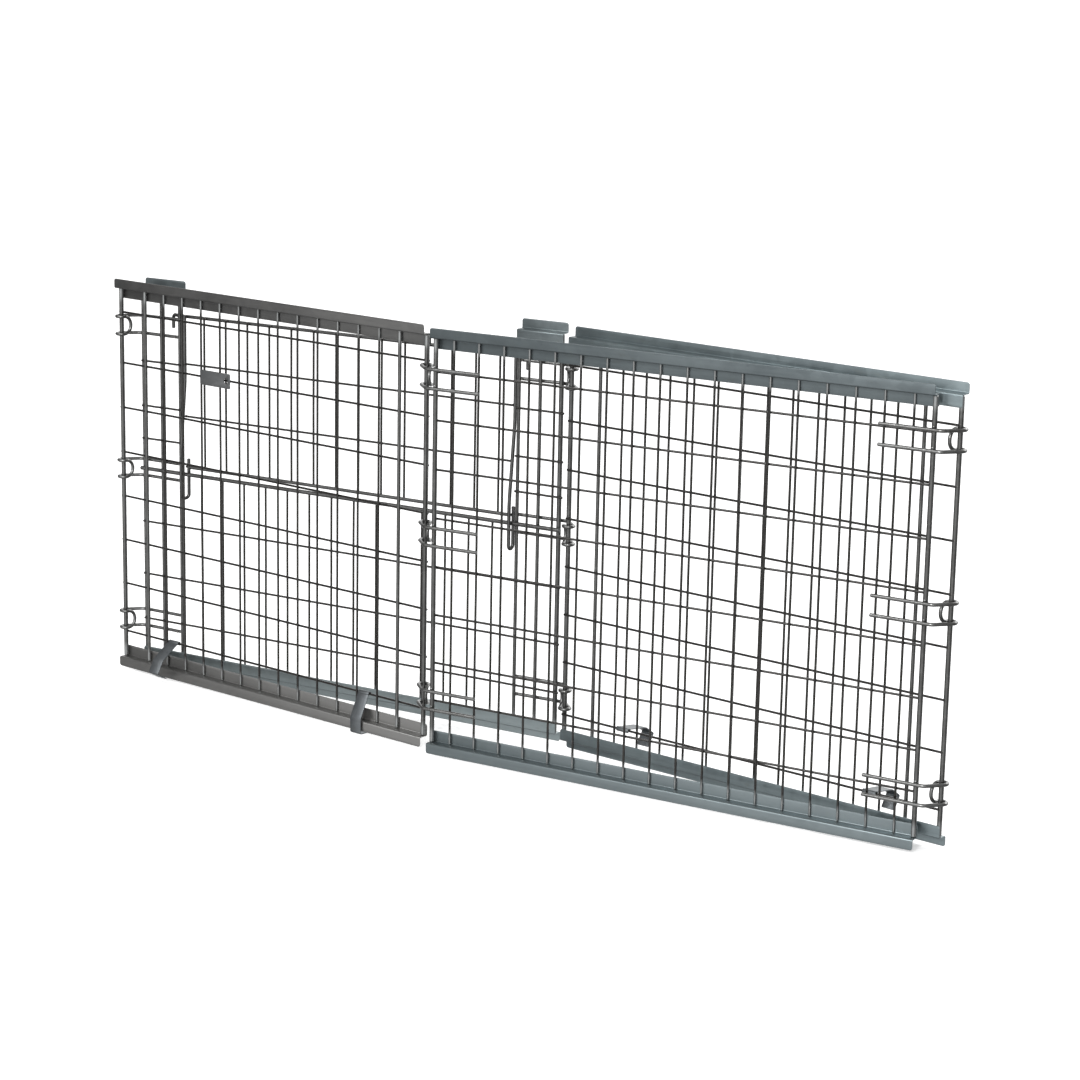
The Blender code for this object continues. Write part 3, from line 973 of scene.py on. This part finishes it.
@dataclass
class TagHolder:
    """Small sheet plate on a row of the front-left wall, with a round hole."""

    finishes: Finishes
    low: tuple[float, float] = (0.1660, 0.4478)
    high: tuple[float, float] = (0.2260, 0.4692)
    face: float = 0.0022
    gauge: float = 0.0010
    hole: float = 0.0038
    hole_inset: float = 0.0085

    def build(self) -> bpy.types.Object:
        """Cut the plate out and round its corners.

        Returns:
            The finished plate.
        """
        (u0, z0), (u1, z1) = self.low, self.high
        n = self.face + self.gauge / 2
        forge = Forge()
        bm = forge.bm
        upright = Matrix.Rotation(math.pi / 2, 4, "X")
        middle = Matrix.Translation(((u0 + u1) / 2, n, (z0 + z1) / 2))
        blank = middle @ upright @ Matrix.Diagonal((u1 - u0, z1 - z0, 1.0, 1.0))
        corners = bmesh.ops.create_grid(bm, x_segments=1, y_segments=1, size=0.5, matrix=blank)["verts"]
        bmesh.ops.bevel(bm, geom=corners, offset=2.2 * MM, offset_type="OFFSET", segments=4, profile=0.5,
                        affect="VERTICES", material=-1)
        bmesh.ops.delete(bm, geom=bm.faces[:], context="FACES_ONLY")
        turn = Matrix.Translation((u1 - self.hole_inset, n, (z0 + z1) / 2)) @ upright
        bmesh.ops.create_circle(bm, cap_ends=False, segments=28, radius=self.hole, matrix=turn)
        bmesh.ops.triangle_fill(bm, use_beauty=True, use_dissolve=False, edges=bm.edges[:],
                                normal=(0.0, 1.0, 0.0))
        return forge.finish("tag_holder", LAYOUT.wall(Side.FRONT_LEFT), (self.finishes.plate,), self.gauge)


@dataclass
class KennelRing:
    """The four walls with their rails, hinges, door, clips and plate."""

    finishes: Finishes
    sizes: RingSizes = SIZES
    short_rows: tuple[float, float] = (0.5320, 0.0545)
    long_rows: tuple[float, float] = (0.5220, 0.0750)
    tails: dict[Side, tuple[float, float]] = field(default_factory=lambda: {
        Side.FRONT_LEFT: (0.0095, 0.0012), Side.FRONT_RIGHT: (0.0055, 0.0012),
        Side.BACK_RIGHT: (0.0012, 0.0012), Side.BACK_LEFT: (0.0012, 0.0075)})
    left_heavies: tuple[float, float, float] = (0.0, 0.033, 0.066)
    right_heavies: tuple[float, float] = (0.637, 0.670)
    clip_swings: dict[str, float] = field(
        default_factory=lambda: {"clip_1": 30.0, "clip_2": 0.0, "clip_3": 56.0, "clip_4": 56.0})

    def heights(self) -> tuple[float, float]:
        """Lower and upper end of a full-height upright."""
        s = self.sizes
        return s.web_low + s.touch, s.web_high - s.touch

    def rails(self, side: Side, pieces: Iterable[tuple[str, tuple[float, float], bool]]) -> None:
        """Make rails of one wall.

        Args:
            side: The wall.
            pieces: Node name, span along the wall, and whether it is a top rail.
        """
        for node, span, top in pieces:
            rail = ZRail(node + "_sheet", side, span, top, self.finishes).build()
            hand_over(rail, side.value, "galvanised_sheet", node)

    def short_wall(self, side: Side, seed: int) -> None:
        """Plain short wall: two posts, two heavy and twelve thin uprights."""
        s = self.sizes
        low, high = self.heights()
        ups = [(0.0, s.post, low, high), (s.short, s.post, low, high)]
        for i in range(14):
            radius = s.heavy if i in (0, 13) else s.thin
            ups.append((s.short_gap + s.pitch * i, radius, low, high))
        start, end = self.tails[side]
        rows = [(z, -start, s.short + end) for z in (self.short_rows[0], *s.mid_rows, self.short_rows[1])]
        grid = WireGrid(side.value + "_wires", side, ups, rows, self.finishes, seed=seed).build()
        hand_over(grid, side.value, "galvanised_wire", side.value + "_mesh")
        span = (-s.post, s.short + s.post)
        self.rails(side, ((side.value + "_top_rail", span, True), (side.value + "_bottom_rail", span, False)))

    def plain_long_wall(self) -> None:
        """Plain long wall: two posts and eighteen thin uprights."""
        s, side = self.sizes, Side.FRONT_RIGHT
        low, high = self.heights()
        ups = [(0.0, s.post, low, high), (s.long, s.post, low, high)]
        ups += [(s.long_gap + s.pitch * i, s.thin, low, high) for i in range(18)]
        start, end = self.tails[side]
        rows = [(z, -start, s.long + end) for z in (self.long_rows[0], *s.mid_rows, self.long_rows[1])]
        grid = WireGrid("front_right_wires", side, ups, rows, self.finishes, seed=11).build()
        hand_over(grid, side.value, "galvanised_wire", "front_right_mesh")
        span = (-s.post, s.long + s.post)
        self.rails(side, (("front_right_top_rail", span, True), ("front_right_bottom_rail", span, False)))

    def door_wall(self) -> None:
        """Door wall: side grids, lower grid, rails and short top rails."""
        s, side = self.sizes, Side.BACK_LEFT
        low, high = self.heights()
        side_rows = (0.4625, 0.3965, 0.3480)
        start, end = self.tails[side]
        groups = (("left", self.left_heavies, (-start, 0.0705)),
                  ("right", (*self.right_heavies, s.long), (self.right_heavies[0] - s.heavy, s.long + end)))
        for name, places, span in groups:
            ups = [(u, s.post if u in (0.0, s.long) else s.heavy, low, high) for u in places]
            rows = [(z, *span) for z in side_rows]
            grid = WireGrid("back_left_wires_" + name, side, ups, rows, self.finishes, seed=17).build()
            hand_over(grid, side.value, "galvanised_wire", "back_left_side_" + name)
        step = (self.right_heavies[0] - self.left_heavies[2]) / 15
        top = 0.3035 - 3.5 * MM
        ups = [(self.left_heavies[2] + step * (i + 1), s.thin, low, top) for i in range(14)]
        rows = [(z, -start, s.long + end) for z in (0.2240, 0.1450, 0.0770)]
        grid = WireGrid("back_left_wires_lower", side, ups, rows, self.finishes, seed=23,
                        joggle=(0.0795, 0.6235)).build()
        hand_over(grid, side.value, "galvanised_wire", "back_left_lower_mesh")
        self.rails(side, (("back_left_top_stub_left", (-s.post, 0.0690), True),
                          ("back_left_top_stub_right", (0.6340, s.long + s.post), True),
                          ("back_left_bottom_rail", (-s.post, s.long + s.post), False)))

    def hinges(self) -> None:
        """Three hinges at each of the four corners."""
        corners = (("front_mid", Side.FRONT_RIGHT, True, 0.0700),
                   ("front_right", Side.FRONT_RIGHT, False, 0.0700),
                   ("back_left", Side.BACK_LEFT, True, 0.0590), ("back_mid", Side.BACK_LEFT, False, 0.0670))
        raised = {"hinge_front_mid_bottom": 2.7 * MM}
        for corner, side, at_start, reach in corners:
            for level in Level:
                node = f"hinge_{corner}_{level.name.lower()}"
                rise = raised.get(node, 0.0)
                made = CornerHinge(node + "_wire", side, at_start, level, reach, self.finishes, rise).build()
                hand_over(made, side.value, "galvanised_wire", node)

    def clips(self) -> None:
        """Two swing clips on each short wall."""
        s = self.sizes
        far = s.short_gap + 11 * s.pitch
        near = s.short_gap + s.pitch
        places = (("clip_1", Side.FRONT_LEFT, near + 2.5 * MM), ("clip_2", Side.FRONT_LEFT, far + 2.5 * MM),
                  ("clip_3", Side.BACK_RIGHT, far + 11 * MM), ("clip_4", Side.BACK_RIGHT, near + 2.5 * MM))
        for node, side, start in places:
            made = SwingClip(node, side, start, self.clip_swings[node], self.finishes).build()
            hand_over(made, node, "clip_sheet", node)

    def build(self) -> None:
        """Make the whole ring."""
        self.plain_long_wall()
        self.short_wall(Side.FRONT_LEFT, 3)
        self.short_wall(Side.BACK_RIGHT, 7)
        self.door_wall()
        DropDoor(self.finishes).build()
        self.hinges()
        self.clips()
        hand_over(TagHolder(self.finishes).build(), Side.FRONT_LEFT.value, "galvanised_sheet", "tag_plate")


# --------------------------------------------------------------------- stage
@dataclass(frozen=True)
class Softbox:
    """Room light: bright panels before and behind the ring, dimmer sides."""

    name: str = "studio"
    room: float = 0.22
    wall: float = 0.95
    glow: float = 2.4

    def make(self) -> bpy.types.World:
        """Build the world."""
        g = ShaderGraph(bpy.data.worlds.new(self.name), "Background")
        toward = g.node("ShaderNodeTexCoord", output="Generated")
        depth = g.node("ShaderNodeSeparateXYZ", None, {0: toward}, 1)
        rise = g.node("ShaderNodeSeparateXYZ", None, {0: toward}, 2)
        facing = g.ramp(depth * depth, 0.09, 0.64)
        panel = g.ramp(depth * depth, 0.38, 0.81) * g.ramp(rise, 0.26, 0.42)
        strength = self.room + facing * self.wall + panel * self.glow + g.ramp(rise, 0.5, 1.0) * 0.5
        return g.surface(color=rgba((1.0, 1.0, 1.0)), strength=strength)


@dataclass(frozen=True)
class Studio:
    """Floor, soft light and camera."""

    eye: Vector = Vector((1.9131, -3.1345, 1.1435))
    yaw: float = math.radians(-30.516)
    pitch: float = math.radians(13.036)
    roll: float = math.radians(1.121)
    lens: float = 94.05

    def camera(self) -> None:
        """Camera at the right front, above the ring."""
        data = bpy.data.cameras.new("camera")
        data.lens, data.sensor_width = self.lens, 36.0
        level = math.cos(self.pitch)
        forward = Vector((math.sin(self.yaw) * level, math.cos(self.yaw) * level, -math.sin(self.pitch)))
        right = Vector((math.cos(self.yaw), -math.sin(self.yaw), 0.0))
        above = right.cross(forward)
        tilted = right * math.cos(self.roll) + above * math.sin(self.roll)
        top = above * math.cos(self.roll) - right * math.sin(self.roll)
        camera = bpy.data.objects.new("camera", data)
        turned = Matrix((tilted, top, -forward)).transposed().to_4x4()
        camera.matrix_world = Matrix.Translation(self.eye) @ turned
        bpy.context.scene.collection.objects.link(camera)
        bpy.context.scene.camera = camera

    def floor(self) -> None:
        """Large pale floor under the ring."""
        bm = bmesh.new()
        bmesh.ops.create_grid(bm, x_segments=1, y_segments=1, size=30.0)
        bmesh.ops.translate(bm, verts=bm.verts, vec=(0.0, 0.0, -0.5 * MM))
        mesh = bpy.data.meshes.new("floor")
        bm.to_mesh(mesh)
        bm.free()
        mesh.materials.append(PaleFloor().make())
        floor = bpy.data.objects.new("floor", mesh)
        floor.visible_glossy = False
        bpy.context.scene.collection.objects.link(floor)

    def lamp(self, name: str, place: tuple[float, float, float], size: tuple[float, float],
             power: float) -> None:
        """Rectangular soft light aimed at the ring.

        Args:
            name: Object name.
            place: Position.
            size: Width and height.
            power: Power in watts.
        """
        data = bpy.data.lights.new(name, "AREA")
        data.shape, data.size, data.size_y = "RECTANGLE", size[0], size[1]
        data.energy = power
        lamp = bpy.data.objects.new(name, data)
        lamp.location = place
        lamp.rotation_euler = (Vector((0.0, 0.0, 0.3)) - Vector(place)).to_track_quat("-Z", "Y").to_euler()
        bpy.context.scene.collection.objects.link(lamp)

    def build(self) -> None:
        """Set up the stage."""
        world = Softbox().make()
        bpy.context.scene.world = world
        bpy.context.scene.view_settings.view_transform = "Standard"
        self.floor()
        self.lamp("key", (-1.6, -3.2, 3.4), (1.2, 1.2), 50.0)
        self.lamp("front", (1.1, -3.7, 1.9), (0.45, 1.5), 95.0)
        self.lamp("rim", (2.6, 2.4, 2.8), (1.6, 0.6), 45.0)
        self.camera()


def main() -> None:
    """Build every piece on the loaded frame."""
    logging.basicConfig(level=logging.INFO, format="%(name)s %(message)s")
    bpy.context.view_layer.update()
    KennelRing(Finishes()).build()
    Studio().build()


if __name__ == "__main__":
    main()
